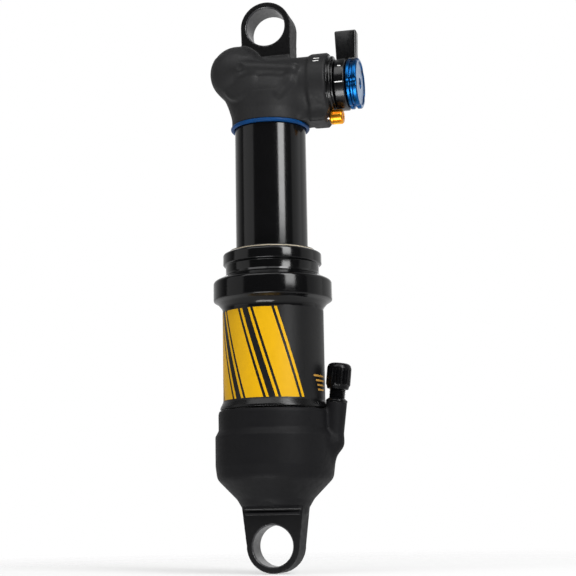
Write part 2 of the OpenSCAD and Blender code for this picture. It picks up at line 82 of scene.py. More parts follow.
def outward(azimuth, elevation):
    """Unit vector towards a viewer or a lamp. Azimuth 0 is the front, -Y, and 90 is +X."""
    a, e = math.radians(azimuth), math.radians(elevation)
    return Vector((math.sin(a) * math.cos(e), -math.cos(a) * math.cos(e), math.sin(e)))


def make_camera():
    data = bpy.data.cameras.new("photo_camera")
    cam = new_object("photo_camera", data)
    back, roll = outward(CAMERA_AZIMUTH, CAMERA_ELEVATION), math.radians(CAMERA_ROLL)
    right = (-back).cross(Vector((0, 0, 1))).normalized()
    up = right.cross(-back)
    side = right * math.cos(roll) + up * math.sin(roll)
    top = up * math.cos(roll) - right * math.sin(roll)
    eye = (Vector(CAMERA_AIM) + back * CAMERA_DISTANCE) * MM
    cam.matrix_world = Matrix.Translation(eye) @ Matrix((side, top, back)).transposed().to_4x4()
    data.sensor_width, data.lens = SENSOR_WIDTH, LENS
    data.shift_x, data.shift_y = LENS_SHIFT
    data.clip_start, data.clip_end = 0.01, 50
    bpy.context.scene.camera = cam


make_camera()

# ------------------------------------------------------------------ materials


def fill(tree, n, values):
    """Gives a node's inputs their values, or links them to other nodes' outputs."""
    for key, v in values.items():
        if isinstance(v, bpy.types.NodeSocket):
            tree.links.new(v, n.inputs[key])
        else:
            n.inputs[key].default_value = v


def add_node(tree, kind, values=None, **props):
    """A new node, with its own properties set and its inputs filled."""
    n = tree.nodes.new(kind)
    for k, v in props.items():
        setattr(n, k, v)
    fill(tree, n, values or {})
    return n


class Shader:
    """A Principled material whose patterns use object coordinates in millimetres."""

    def __init__(self, name, colour, roughness, **values):
        self.m = bpy.data.materials.new(name)
        self.m.use_nodes = True
        self.tree = self.m.node_tree
        self.bsdf = self.tree.nodes["Principled BSDF"]
        self.set(self.bsdf, {"Base Color": (*colour, 1), "Roughness": roughness})
        self.set(self.bsdf, values)
        coords = self.add("ShaderNodeTexCoord")
        self.mm = self.add("ShaderNodeMapping", {
            "Vector": coords.outputs["Object"], "Scale": (1 / MM, 1 / MM, 1 / MM)}).outputs["Vector"]
        self.colour, self.roughness, self.height = colour, roughness, None

    def set(self, n, values):
        fill(self.tree, n, values)

    def add(self, kind, values=None, **props):
        return add_node(self.tree, kind, values, **props)

    def stretch(self, scale):
        return self.add("ShaderNodeMapping", {"Vector": self.mm, "Scale": scale}).outputs["Vector"]

    def noise(self, scale, detail, stretch=None):
        where = self.stretch(stretch) if stretch else self.mm
        n = self.add("ShaderNodeTexNoise", {"Vector": where, "Scale": scale, "Detail": detail})
        return n.outputs["Fac"]

    def remap(self, fac, lo, hi, from_lo=0.3, from_hi=0.7):
        return self.add("ShaderNodeMapRange", {"Value": fac, "From Min": from_lo, "From Max": from_hi,
                                               "To Min": lo, "To Max": hi}).outputs["Result"]

    def mix(self, fac, a, b):
        a, b = (v if isinstance(v, bpy.types.NodeSocket) else (*v, 1) for v in (a, b))
        return self.add("ShaderNodeMix", {0: fac, 6: a, 7: b}, data_type="RGBA").outputs[2]

    def math(self, op, a, b):
        return self.add("ShaderNodeMath", {0: a, 1: b}, operation=op).outputs[0]

    def tint(self, amount, scale):
        """Colour that drifts over the surface, a little darker in one place and lighter in another."""
        dark = tuple(c * (1 - amount) for c in self.colour)
        light = tuple(min(1, c * (1 + amount)) for c in self.colour)
        self.base = self.mix(self.remap(self.noise(scale, 4.0), 0, 1), dark, light)
        self.set(self.bsdf, {"Base Color": self.base})
        return self

    def wear(self, spread, scale=0.5):
        """Roughness that varies from spot to spot."""
        lo, hi = max(0.02, self.roughness - spread), min(1, self.roughness + spread)
        self.set(self.bsdf, {"Roughness": self.remap(self.noise(scale, 5.0), lo, hi)})
        return self

    def relief(self, fac, depth):
        """Adds one layer of height, depth in millimetres, on top of those that are there."""
        n = self.add("ShaderNodeBump", {"Height": fac, "Distance": depth * MM, "Strength": 1.0})
        if self.height:
            self.set(n, {"Normal": self.height})
        self.height = n.outputs["Normal"]
        self.set(self.bsdf, {"Normal": self.height})
        return self

    def grain(self, scale, depth):
        return self.relief(self.noise(scale, 2.0), depth)

    def turned(self, axis, pitch, depth):
        """Fine tool lines across an axis, a pitch in millimetres apart, as machining leaves them."""
        waves_per_unit = 0.314
        wave = self.add("ShaderNodeTexWave", {
            "Vector": self.mm, "Scale": waves_per_unit / pitch, "Distortion": 0.6, "Detail": 2.0,
            "Detail Scale": 0.4}, wave_type="BANDS", bands_direction=axis)
        return self.relief(wave.outputs["Fac"], depth)

    def band(self, axis, edges):
        """1 between the two inner edges along an axis, falling to 0 at the outer ones."""
        sep = self.add("ShaderNodeSeparateXYZ", {"Vector": self.mm})
        at = sep.outputs[axis]
        rise = self.remap(at, 0, 1, edges[0], edges[1])
        fall = self.remap(at, 1, 0, edges[2], edges[3])
        return self.math("MULTIPLY", rise, fall)


def rgb(r, g, b):
    """Linear colour from display values of 0 to 255."""
    return tuple(((c / 255 + 0.055) / 1.055) ** 2.4 if c > 10 else c / 255 / 12.92 for c in (r, g, b))


def scratches(s, scale, depth, stretch):
    """Sparse hairline marks along one direction."""
    s.relief(s.remap(s.noise(scale, 1.0, stretch), 0, 1, 0.62, 0.72), depth)


cast = Shader("cast_matte_black", rgb(26, 26, 27), 0.56, **{"Specular IOR Level": 0.26})
cast.tint(0.14, 0.09).wear(0.07, 0.6).grain(3.2, 0.012).grain(0.35, 0.05)
can_cast = Shader("can_satin_black", rgb(15, 15, 17), 0.56, **{"Specular IOR Level": 0.15})
can_cast.tint(0.12, 0.09).wear(0.06, 0.6).grain(3.2, 0.007).grain(0.35, 0.04)
cut = Shader("machined_satin_black", rgb(7, 7, 8), 0.3, **{"Specular IOR Level": 0.3})
cut.tint(0.12, 0.2).wear(0.03, 0.8).turned("Z", 0.45, 0.0005).grain(1.6, 0.0006)
can_cut = Shader("milled_satin_black", rgb(17, 17, 18), 0.34, **{"Specular IOR Level": 0.3})
can_cut.tint(0.12, 0.12).wear(0.03, 0.8).turned("Z", 0.45, 0.0006).grain(1.6, 0.0008)
bored = Shader("bored_black", rgb(50, 50, 52), 0.34, **{"Specular IOR Level": 0.5})
bored.tint(0.15, 0.3).wear(0.06, 0.8).turned("Y", 0.18, 0.0014)
gloss = Shader("gloss_black_anodised", rgb(9, 9, 10), 0.13, **{"Specular IOR Level": 0.42})
gloss.tint(0.12, 0.15).wear(0.025, 0.4)
scratches(gloss, 3.0, 0.0006, (1, 1, 0.04))
gloss_x = Shader("gloss_black_turned", rgb(8, 8, 9), 0.2, **{"Specular IOR Level": 0.45})
gloss_x.tint(0.12, 0.3).wear(0.04, 0.8).turned("X", 0.2, 0.0008)
tube_mat = Shader("tube_hard_anodised", rgb(9, 9, 10), 0.14, **{"Specular IOR Level": 0.45})
tube_mat.tint(0.1, 0.2).wear(0.02, 0.5)
scratches(tube_mat, 3.5, 0.0005, (1, 1, 0.03))


def sleeve_shader():
    """Satin where the stripes are printed, gloss on the collar above and the foot below."""
    s = Shader("sleeve_satin_and_gloss", rgb(14, 14, 15), 0.42, **{"Specular IOR Level": 0.3})
    printed, edge = (56.2, 91.8), 0.6
    satin = s.band("Z", (printed[0] - edge, printed[0], printed[1], printed[1] + edge))
    s.set(s.bsdf, {"Base Color": s.mix(satin, rgb(9, 9, 10), s.tint(0.1, 0.1).base)})
    drift = s.remap(s.noise(0.7, 4.0), 0.1, 0.16)
    foot = s.math("MULTIPLY", s.band("Z", (0, 1, printed[0] - edge, printed[0])), 0.14)
    extra = s.math("ADD", s.math("MULTIPLY", satin, 0.3), foot)
    s.set(s.bsdf, {"Roughness": s.math("ADD", extra, drift)})
    return s


sleeve_mat = sleeve_shader()
sleeve_mat.grain(3.0, 0.003)
rubber = Shader("black_rubber", rgb(22, 22, 22), 0.6).tint(0.2, 0.4).wear(0.08).grain(2.0, 0.01)
blue_rubber = Shader("blue_rubber", rgb(4, 56, 106), 0.4, **{"Specular IOR Level": 0.12})
blue_rubber.tint(0.12, 0.3).wear(0.05, 0.6).grain(1.8, 0.006)
blue = Shader("blue_anodised", rgb(20, 84, 142), 0.3, Metallic=1.0).tint(0.1, 0.4).wear(0.04, 1.0)
blue.turned("X", 0.16, 0.0004)
blue_end = Shader("blue_anodised_end", rgb(176, 194, 218), 0.42, Metallic=1.0)
blue_end.tint(0.1, 0.4).wear(0.06, 1.0).grain(2.0, 0.002)
gold = Shader("gold_anodised", rgb(236, 162, 44), 0.34, Metallic=1.0).tint(0.08, 0.5).wear(0.05, 1.0)
gold.turned("X", 0.14, 0.0004)
steel = Shader("ground_steel", rgb(178, 178, 182), 0.26, Metallic=1.0).tint(0.06, 0.4).wear(0.06, 0.8)
steel.turned("Z", 0.12, 0.0008)
alloy = Shader("bare_alloy", rgb(196, 197, 198), 0.34, Metallic=1.0).tint(0.06, 0.3).wear(0.07, 0.8)
alloy.turned("Z", 0.2, 0.001)
bronze = Shader("bearing_bronze", rgb(160, 122, 72), 0.4, Metallic=1.0)
bronze.tint(0.14, 0.6).wear(0.08).grain(2.4, 0.004)
beige = Shader("retaining_ring", rgb(205, 192, 168), 0.45).tint(0.06, 0.5).wear(0.06).grain(2.0, 0.003)
plastic = Shader("moulded_black_plastic", rgb(3, 3, 4), 0.28, **{"Specular IOR Level": 0.2})
plastic.tint(0.12, 0.4).wear(0.05, 0.8).grain(2.4, 0.002)
nylon = Shader("glass_filled_nylon", rgb(48, 48, 52), 0.5).tint(0.2, 0.9).wear(0.08).grain(1.6, 0.01)
yellow = Shader("yellow_print", rgb(210, 160, 6), 0.46, **{"Specular IOR Level": 0.2})
yellow.tint(0.025, 0.3).wear(0.05, 1.0).grain(2.4, 0.003)
dim_yellow = Shader("fine_print_bar", rgb(176, 132, 58), 0.45)
dim_yellow.tint(0.1, 1.5).wear(0.05).grain(2.4, 0.003)
white = Shader("white_paint", rgb(226, 226, 224), 0.45).tint(0.05, 1.0).wear(0.05).grain(3.0, 0.004)

# ------------------------------------------------------------------ meshes


def new_mesh(name, bm):
    """Ends the work on a bmesh by making a mesh of it."""
    mesh = bpy.data.meshes.new(name)
    bm.to_mesh(mesh)
    bm.free()
    return mesh


def without_slivers(mesh, shortest=0.003):
    """Closes up edges shorter than a limit, and the empty faces that cutting leaves on them."""
    bm = bmesh.new()
    bm.from_mesh(mesh)
    bmesh.ops.dissolve_degenerate(bm, dist=shortest * MM, edges=bm.edges)
    bm.to_mesh(mesh)
    bm.free()
    return mesh


def finish_mesh(name, mesh, body, materials, replaced=()):
    """Makes a piece of a mesh: its materials, the body it rides on, and the CAD nodes it stands for."""
    obj = new_object(name, mesh)
    for s in materials:
        mesh.materials.append(s.m)
    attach(obj, body)
    if replaced:
        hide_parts(*replaced)


def mark_sharp(mesh, degrees=32):
    """Smooth shading that breaks at every edge sharper than an angle."""
    mesh.polygons.foreach_set("use_smooth", [True] * len(mesh.polygons))
    bm = bmesh.new()
    bm.from_mesh(mesh)
    limit = math.radians(degrees)
    for e in bm.edges:
        e.smooth = len(e.link_faces) == 2 and e.calc_face_angle(0) < limit
    bm.to_mesh(mesh)
    bm.free()


def rounded(points, steps=5):
    """Closed outline whose corners with a third number are rounded to that radius."""
    arc_of_steps = 1.2  # radians of arc that get the given number of steps
    out = []
    count = len(points)
    for i, p in enumerate(points):
        here = Vector(p[:2])
        if len(p) < 3 or not p[2]:
            out.append(here)
            continue
        a = Vector(points[i - 1][:2]) - here
        b = Vector(points[(i + 1) % count][:2]) - here
        angle = a.angle(b)
        if angle > math.pi - 0.02:
            out.append(here)
            continue
        run = min(p[2] / math.tan(angle / 2), a.length * 0.49, b.length * 0.49)
        radius = run * math.tan(angle / 2)
        centre = here + (a.normalized() + b.normalized()).normalized() * radius / math.sin(angle / 2)
        start, end = here + a.normalized() * run - centre, here + b.normalized() * run - centre
        t0 = math.atan2(start.y, start.x)
        turn = math.atan2(end.y, end.x) - t0
        turn = (turn + math.pi) % (2 * math.pi) - math.pi
        n = max(2, round(steps * abs(turn) / arc_of_steps))
        for k in range(n + 1):
            t = t0 + turn * k / n
            out.append(centre + Vector((math.cos(t), math.sin(t))) * radius)
    return out


def lathe_mesh(name, outline, seg, warp=None, place=None, steps=5):
    """Turns a closed (radius, height) outline. warp(angle, r, h) may change the radius."""
    pts = rounded(outline, steps)
    area = sum(a.x * b.y - b.x * a.y for a, b in zip(pts, pts[1:] + pts[:1]))
    if area < 0:
        pts.reverse()
    bm = bmesh.new()
    rings = []
    for p in pts:
        if p.x < 1e-6:
            rings.append([bm.verts.new((0, 0, p.y * MM))] * seg)
            continue
        ring = []
        for k in range(seg):
            t = 2 * math.pi * k / seg
            r = warp(t, p.x, p.y) if warp else p.x
            ring.append(bm.verts.new((r * math.cos(t) * MM, r * math.sin(t) * MM, p.y * MM)))
        rings.append(ring)
    for a, b in zip(rings, rings[1:] + rings[:1]):
        if a[0] is a[1] and b[0] is b[1]:
            continue
        for k in range(seg):
            m = (k + 1) % seg
            quad = list(dict.fromkeys((a[k], a[m], b[m], b[k])))
            if len(quad) > 2:
                bm.faces.new(quad)
    if place is not None:
        bm.transform(place)
    return new_mesh(name, bm)


def along_x(y, z):
    """Stands a turned piece's axis along +X through (y, z)."""
    return Matrix.Translation((0, y * MM, z * MM)) @ Matrix.Rotation(math.pi / 2, 4, "Y")


def along_y(x, z):
    return Matrix.Translation((x * MM, 0, z * MM)) @ Matrix.Rotation(-math.pi / 2, 4, "X")


def along_valve():
    return Matrix.Translation(Vector(VALVE_BASE) * MM) @ Matrix.Rotation(VALVE_LEAN, 4, "Y")


def cut_mesh(mesh, cutters, operation="DIFFERENCE"):
    """Cuts meshes out of a mesh, or joins them to it."""
    obj = new_object("cutting", mesh)
    tools = []
    for c in cutters:
        tool = new_object("tool", c)
        mod = obj.modifiers.new("cut", "BOOLEAN")
        mod.operation, mod.object, mod.solver = operation, tool, "EXACT"
        tools.append(tool)
    bpy.context.view_layer.update()
    out = bpy.data.meshes.new_from_object(obj.evaluated_get(bpy.context.evaluated_depsgraph_get()))
    for o in [obj, *tools]:
        bpy.data.objects.remove(o)
    return without_slivers(out)


def box_mesh(lo, hi, bevel, segments):
    """A box between two corners, with rounded edges."""
    bm = bmesh.new()
    bmesh.ops.create_cube(bm, size=1)
    for v in bm.verts:
        v.co = Vector([(lo[k] + hi[k]) / 2 + v.co[k] * (hi[k] - lo[k]) for k in range(3)]) * MM
    bmesh.ops.bevel(bm, geom=list(bm.edges), offset=bevel * MM, segments=segments, affect="EDGES",
                    profile=0.5)
    return new_mesh("box", bm)


def turned_piece(name, body, outline, shader, slot, replaced, **how):
    """A whole piece turned from one outline."""
    mesh = lathe_mesh(name, outline, **how)
    mark_sharp(mesh)
    finish_mesh(name, mesh, body, [shader], replaced)


# ------------------------------------------------------------------ distance fields for the castings

# Each field gives the signed distance of points from a shape, less than 0 inside it.


def smin(a, b, k):
    """Joins two fields, with a fillet about k wide where they meet."""
    h = np.maximum(k - np.abs(a - b), 0) / k
    return np.minimum(a, b) - h * h * k / 4


def smax(a, b, k):
    """The part that two fields share, with its edge rounded off."""
    return -smin(-a, -b, k)


def rod_field(p, axis, centre, radius, lo, hi, edge=0.0):
    """A round rod along an axis, from lo to hi, with rounded ends."""
    u, v = [k for k in range(3) if k != axis]
    d = np.hypot(p[:, u] - centre[u], p[:, v] - centre[v]) - radius + edge
    h = np.maximum(lo - p[:, axis], p[:, axis] - hi) + edge
    return np.minimum(np.maximum(d, h), 0) + np.hypot(np.maximum(d, 0), np.maximum(h, 0)) - edge


def box_field(p, lo, hi, edge):
    lo, hi = np.array(lo, float), np.array(hi, float)
    q = np.abs(p - (lo + hi) / 2) - (hi - lo) / 2 + edge
    return np.linalg.norm(np.maximum(q, 0), axis=1) + np.minimum(q.max(1), 0) - edge


def ball_field(p, centre, radius):
    return np.linalg.norm(p - np.array(centre, float), axis=1) - radius


def limb_field(p, a, b, ra, rb):
    """A round-ended rod between two points, tapering from ra to rb."""
    a, b = np.array(a, float), np.array(b, float)
    t = np.clip((p - a) @ (b - a) / ((b - a) @ (b - a)), 0, 1)
    return np.linalg.norm(p - a - t[:, None] * (b - a), axis=1) - (ra + (rb - ra) * t)


def outline_field(x, y, pts):
    """Signed distance to a closed outline in a plane."""
    pts = np.array([tuple(q) for q in pts], float)
    best = np.full(len(x), 1e9)
    inside = np.zeros(len(x), bool)
    for a, b in zip(pts, np.roll(pts, -1, 0)):
        ex, ey = b - a
        t = np.clip(((x - a[0]) * ex + (y - a[1]) * ey) / (ex * ex + ey * ey + 1e-12), 0, 1)
        best = np.minimum(best, (x - a[0] - t * ex) ** 2 + (y - a[1] - t * ey) ** 2)
        if ey:
            inside ^= ((a[1] > y) != (b[1] > y)) & (x < ex * (y - a[1]) / ey + a[0])
    return np.where(inside, -1, 1) * np.sqrt(best)


def gradient(f, p, h=0.02):
    """Unit normals of a field, measured over steps of h."""
    g = np.empty_like(p)
    for k in range(3):
        step = np.zeros(3)
        step[k] = h
        g[:, k] = f(p + step) - f(p - step)
    return g / np.maximum(np.linalg.norm(g, axis=1, keepdims=True), 1e-9)


def field_mesh(name, f, lo, hi, h):
    """Dual contouring: a quad mesh of the surface f = 0 that keeps its sharp edges."""
    lo = np.array(lo, float)
    n = np.ceil((np.array(hi) - lo) / h).astype(int) + 1
    # The grid is sampled point by point only in the blocks near the surface.
    block = 6
    coarse = [lo[k] + h * block * (np.arange(-(-n[k] // block)) + 0.5) for k in range(3)]
    grid = np.stack(np.meshgrid(*coarse, indexing="ij"), -1)
    rough = f(grid.reshape(-1, 3)).reshape(grid.shape[:3])
    which = np.ix_(*[np.arange(n[k]) // block for k in range(3)])
    rough = rough[which]
    near = np.abs(rough) < h * block * 1.5
    far = 1e3
    v = np.where(rough < 0, -far, far)
    index = np.argwhere(near)
    v[near] = f(lo + index * h)
    v[v == 0] = 1e-9
    # Each grid edge that crosses the surface makes a quad between the four cells round it.
    cells, where, normal, quads = [], [], [], []
    strides = np.array([n[1] * n[2], n[2], 1])
    for a in range(3):
        u, w = (a + 1) % 3, (a + 2) % 3
        first = [slice(None)] * 3
        second = [slice(None)] * 3
        first[a], second[a] = slice(0, -1), slice(1, None)
        v0, v1 = v[tuple(first)], v[tuple(second)]
        at = np.argwhere((v0 < 0) != (v1 < 0))
        b0, b1 = v0[tuple(at.T)], v1[tuple(at.T)]
        p = lo + at * h
        p[:, a] += h * b0 / (b0 - b1)
        g = gradient(f, p)
        ring = []
        for du, dw in ((0, 0), (-1, 0), (-1, -1), (0, -1)):
            c = at.copy()
            c[:, u] += du
            c[:, w] += dw
            ring.append(c @ strides)
            cells.append(ring[-1])
            where.append(p)
            normal.append(g)
        ring = np.stack(ring, 1)
        ring[b0 > 0] = ring[b0 > 0][:, ::-1]
        quads.append(ring)
    cells, where, normal = np.concatenate(cells), np.concatenate(where), np.concatenate(normal)
    # A cell's vertex goes where the tangent planes at its crossings meet best.
    ids, back = np.unique(cells, return_inverse=True)
    count = np.bincount(back).astype(float)
    mean = np.stack([np.bincount(back, where[:, k]) / count for k in range(3)], 1)
    off = np.einsum("ij,ij->i", normal, where - mean[back])
    ata = np.empty((len(ids), 3, 3))
    atb = np.empty((len(ids), 3))
    for i in range(3):
        atb[:, i] = np.bincount(back, normal[:, i] * off)
        for j in range(3):
            ata[:, i, j] = np.bincount(back, normal[:, i] * normal[:, j])
    pull_to_mean, reach = 0.03, 0.7 * h
    ata += np.eye(3) * pull_to_mean * count[:, None, None]
    move = np.linalg.solve(ata, atb[:, :, None])[:, :, 0]
    points = mean + np.clip(move, -reach, reach)
    quads = np.searchsorted(ids, np.concatenate(quads))
    mesh = bpy.data.meshes.new(name)
    mesh.vertices.add(len(points))
    mesh.vertices.foreach_set("co", (points * MM).ravel())
    mesh.loops.add(quads.size)
    mesh.loops.foreach_set("vertex_index", quads.ravel().astype(np.int32))
    mesh.polygons.add(len(quads))
    mesh.polygons.foreach_set("loop_start", np.arange(0, quads.size, 4, dtype=np.int32))
    mesh.update(calc_edges=True)
    mesh.validate()
    # Corners take the field's normals, apart from those at a sharp edge, which take their face's.
    mesh.polygons.foreach_set("use_smooth", [True] * len(mesh.polygons))
    smooth = gradient(f, points, 0.06)
    face = np.empty(len(mesh.polygons) * 3)
    mesh.polygons.foreach_get("normal", face)
    face = np.repeat(face.reshape(-1, 3), 4, axis=0)
    loops = np.empty(len(mesh.loops), np.int32)
    mesh.loops.foreach_get("vertex_index", loops)
    corner = smooth[loops]
    sharp_cosine = 0.86
    bent = np.einsum("ij,ij->i", corner, face) < sharp_cosine
    corner[bent] = face[bent]
    mesh.normals_split_custom_set(corner.tolist())
    return mesh


def centres(mesh):
    """Centre in millimetres and normal of every face."""
    c = np.empty(len(mesh.polygons) * 3)
    nrm = np.empty(len(mesh.polygons) * 3)
    mesh.polygons.foreach_get("center", c)
    mesh.polygons.foreach_get("normal", nrm)
    return c.reshape(-1, 3) / MM, nrm.reshape(-1, 3)


def eye_bore_field(p, z):
    """Bore of an eye with a small chamfer at each mouth."""
    r = np.hypot(p[:, 0], p[:, 2] - z)
    mouth = (r + EYE_HALF - np.abs(p[:, 1]) - EYE_BORE - 0.45) * 0.707
    return np.minimum(r - EYE_BORE, mouth)


def head_field(p):
    """Head casting: neck, adjuster barrel, reservoir, oil gallery and upper eye."""
    x, y, z = p.T
    neck = rod_field(p, 2, (0, 0, 0), 15.6, NECK_Z, 188, 7.5)
    neck = smin(neck, rod_field(p, 2, (0, 0, 0), 15.6, NECK_Z, 180, 0.4), 0.5)
    reservoir = rod_field(p, 1, (RES_X, 0, RES_Z), RES_R, -4, 18, 0.5)
    reservoir = np.minimum(reservoir, ball_field(p, (RES_X, -4, RES_Z), RES_R))
    barrel = rod_field(p, 0, (0, 0, BARREL_Z), 12.7, -6, 25, 0.4)
    d = smin(smin(neck, reservoir, 3.4), barrel, 5.0)
    d = smin(d, ball_field(p, (-8, -1, BARREL_Z - 3), 9.0), 4.0)
    # thick end of the barrel, drawn down round the rebound adjuster
    ring = np.hypot(y, z - BARREL_Z) - 12.9
    foot = box_field(p, (-40, -7.0, NECK_Z - 0.6), (60, 5.4, BARREL_Z), 2.0)
    outline = smin(ring, foot, 3.0)
    end = smax(outline, np.maximum(19.2 - x, x - BARREL_END), 1.0)
    corner = (x - BARREL_END) * 0.88 - (z - 171.8) * 0.475
    end = smax(end, corner, 0.6)
    d = smin(d, end, 2.6)
    low = smax(foot, np.maximum(12.0 - x, x - BARREL_END), 0.6)
    low = smax(smax(low, corner, 0.6), z - 176, 1.0)
    d = smin(d, low, 2.4)
    # stalk under the eye
    stalk = smax(np.abs(x) - 10.2, np.maximum(np.abs(y) - 7.0, np.maximum(z - 201, 184 - z)), 0.8)
    base = smin(d, stalk, 1.6)
    # round boss between the reservoir and the neck
    boss = rod_field(p, 1, (-9.4, 0, 185.2), 8.0, -16.3, 0, 3.2)
    boss = smax(boss, (-y - 16.3 - 0.42 * (x + 5.5)) * 0.92, 2.5)
    boss = smax(boss, (-y - 16.3 + 0.4 * (z - 186.0)) * 0.93, 2.5)
    base = smin(base, boss, 1.0)
    # oil gallery, which runs from the reservoir to the barrel and turns down over the neck
    rib = limb_field(p, (-8.0, -13.1, 190.4), (12.2, -11.5, 188.3), 3.3, 2.8)
    rib = smin(rib, limb_field(p, (12.2, -11.5, 188.3), (10.9, -11.8, 183.8), 2.8, 2.2), 1.0)
    rib = smin(rib, limb_field(p, (10.9, -11.8, 183.8), (7.0, -13.3, 178.6), 2.2, 1.6), 2.0)
    base = smin(base, rib, 1.6)
    base = smax(base, -ball_field(p, (-8.5, -17.8, 190.3), 2.2), 0.9)
    drop = np.clip(UPPER_Z - z, 0, 16)
    eye = np.maximum(np.hypot(x, np.maximum(z - UPPER_Z, 0)) - EYE_R + 0.03 * drop, 192 - z)
    eye = smax(eye, np.abs(y) - EYE_HALF, 0.4)
    # flats milled either side of the eye, past the reservoir
    base = smax(base, -np.maximum(EYE_HALF - np.abs(y), HEAD_FLATS - z), 0.5)
    d = smin(base, eye, 0.5)
    d = np.maximum(d, np.minimum(np.abs(y) - EYE_HALF, z - HEAD_FLATS - 0.2))
    d = smin(d, reservoir, 0.8)
    # bores
    d = np.maximum(d, -eye_bore_field(p, UPPER_Z))
    d = np.maximum(d, -rod_field(p, 2, (0, 0, 0), 14.0, 150, 173.2))
    d = np.maximum(d, -rod_field(p, 0, (0, 0, BARREL_Z), 9.0, 3, 40))
    d = np.maximum(d, -rod_field(p, 1, (RES_X, 0, RES_Z), 9.3, -10, 40))
    d = np.maximum(d, -rod_field(p, 1, (RES_X, 0, RES_Z), 10.1, 16.2, 17.2))
    d = np.maximum(d, -rod_field(p, 0, (0, REBOUND_Y, REBOUND_Z), 1.5, 19.5, 40))
    # underside: flat round the tube, a little lower at the rebound adjuster
    under = np.where(x > 17.9, NECK_Z - 0.6 - z, NECK_Z - z)
    return np.maximum(d, under)


CAN_OUTLINE = rounded([
    (0, 9.0), (9.5, 9.0), (12.75, 12.4, 1), (13.2, 14.6, 2.5), (15.2, 18.0, 5), (22.9, 25.9, 4.5),
    (23.55, 31, 4), (23.55, 42.4, 0.9), (22.25, 44.9, 1.2), (22.25, 51.2, 0.8), (21.9, 52.45, 0.4),
    (0, 52.45)])
CAN_CAVITY = [
    (-1, 21), (15, 21), (20.9, 27), (21.3, 28), (21.3, 43.6), (20.2, 44.6), (20.2, 60), (-1, 60)]


def can_field(p):
    """Lower can casting: cone, can, lower eye and the arm of the air valve."""
    x, y, z = p.T
    r = np.hypot(x, y)
    d = outline_field(r, z, CAN_OUTLINE)
    # eye with its stalk widening into the cone
    eye = np.maximum(np.hypot(x, np.minimum(z, 0)) - EYE_R - np.clip(z, 0, 20) * 0.12, z - 15)
    eye = smax(eye, np.abs(y) - EYE_HALF, 0.4)
    flats = np.maximum(EYE_HALF - np.abs(y), z - CAN_FLATS)
    flats = np.maximum(flats, (EYE_HALF + 1.2 * (z - CAN_FLATS + 1.0) - np.abs(y)) * 0.64)
    d = smax(d, -flats, 0.9)
    d = smin(d, eye, 0.5)
    d = np.maximum(d, np.minimum(np.abs(y) - EYE_HALF, CAN_FLATS - 1.3 - z))
    bead = np.maximum(np.hypot(np.abs(y) - EYE_HALF, z - 12.7) - 0.6, np.abs(x) - 10.9)
    d = smin(d, bead, 0.25)
    # arm that carries the air valve
    lean = math.sin(VALVE_LEAN), math.cos(VALVE_LEAN)
    foot = (VALVE_BASE[0] - 15.5 * lean[0], 0, VALVE_BASE[2] - 15.5 * lean[1])
    arm = limb_field(p, foot, (VALVE_BASE[0] + 0.1, 0, VALVE_BASE[2] + 4), 3.8, 4.5)
    along = (x - VALVE_BASE[0]) * lean[0] + (z - VALVE_BASE[2]) * lean[1]
    arm = smax(arm, along, 0.4)
    arm = smin(arm, limb_field(p, foot, (20.3, 0, 33.5), 3.8, 3.5), 2.0)
    d = smin(d, arm, 2.2)
    room = np.maximum(r - 21.6, 52.6 - z)
    d = smax(d, -room, 0.3)
    # bores
    d = np.maximum(d, -eye_bore_field(p, 0))
    d = np.maximum(d, -outline_field(r, z, CAN_CAVITY))
    away = (x - VALVE_BASE[0]) ** 2 + y ** 2 + (z - VALVE_BASE[2]) ** 2
    across = np.sqrt(np.maximum(away - along ** 2, 0))
    d = np.maximum(d, -np.maximum(across - 3.0, -5 - along))
    return np.maximum(d, -rod_field(p, 2, (0, 0, 0), 4.0, 12.5, 24))


def casting(name, f, lo, hi, h, body, skin, milled, node, eye_z, flats_to):
    """A casting from its field: rough skin, milled flats beside the eye, and a bored eye."""
    mesh = field_mesh(name, f, lo, hi, h)
    c, nrm = centres(mesh)
    bore = (np.hypot(c[:, 0], c[:, 2] - eye_z) < EYE_BORE + 0.5) & (np.abs(nrm[:, 1]) < 0.9)
    faces = (np.abs(nrm[:, 1]) > 0.9) & (np.abs(np.abs(c[:, 1]) - EYE_HALF) < 0.3) & flats_to(c[:, 2])
    index = np.where(bore, 2, np.where(faces, 1, 0)).astype(np.int32)
    finish_mesh(name, mesh, body, [skin, milled, bored], [node])
    mesh.polygons.foreach_set("material_index", index)


# Grid pitch of the castings. The can's is coarser, which keeps it under 200,000 triangles.
VOXEL = 0.42
CAN_VOXEL = 1.05 * VOXEL
casting("head_casting", head_field, (-25, -17.5, 166), (27, 20, 222), VOXEL, "damper_body",
        cast, cut, "head_body", UPPER_Z, lambda z: z > HEAD_FLATS + 0.3)
casting("lower_can_casting", can_field, (-25, -25, -12), (31, 25, 57), CAN_VOXEL, "air_can",
        can_cast, can_cut, "lower_can", 0, lambda z: z < CAN_FLATS - 0.6)

# ------------------------------------------------------------------ turned pieces

turned_piece("tube", "damper_body", [
    (13, 89.6), (14.5, 89.6, 0.3), (14.5, NECK_Z - 0.02), (13.98, NECK_Z - 0.02),
    (13.98, 172.6, 0.4), (13, 172.9)],
    tube_mat, "gloss_alloy_black", ["damper_tube"], seg=192)

turned_piece("sleeve", "air_can", [
    (18.4, 27.6), (19.7, 27.6), (20.17, 28.5), (20.17, 53.0), (21.55, 53.0, 0.3),
    (21.45, 53.9, 1.0), (20.2, 56.4, 2.2), (20.2, 93.2, 3.0), (22.0, 95.4, 3.0), (23.84, 96.5, 0.9),
    (23.84, 104.1, 1.7), (20.4, 105.9, 1.0), (19.3, 106.4), (18, 106.4), (18, 95.6), (18.4, 94.4)],
    sleeve_mat, "gloss_alloy_black", ["air_sleeve"], seg=192, steps=8)

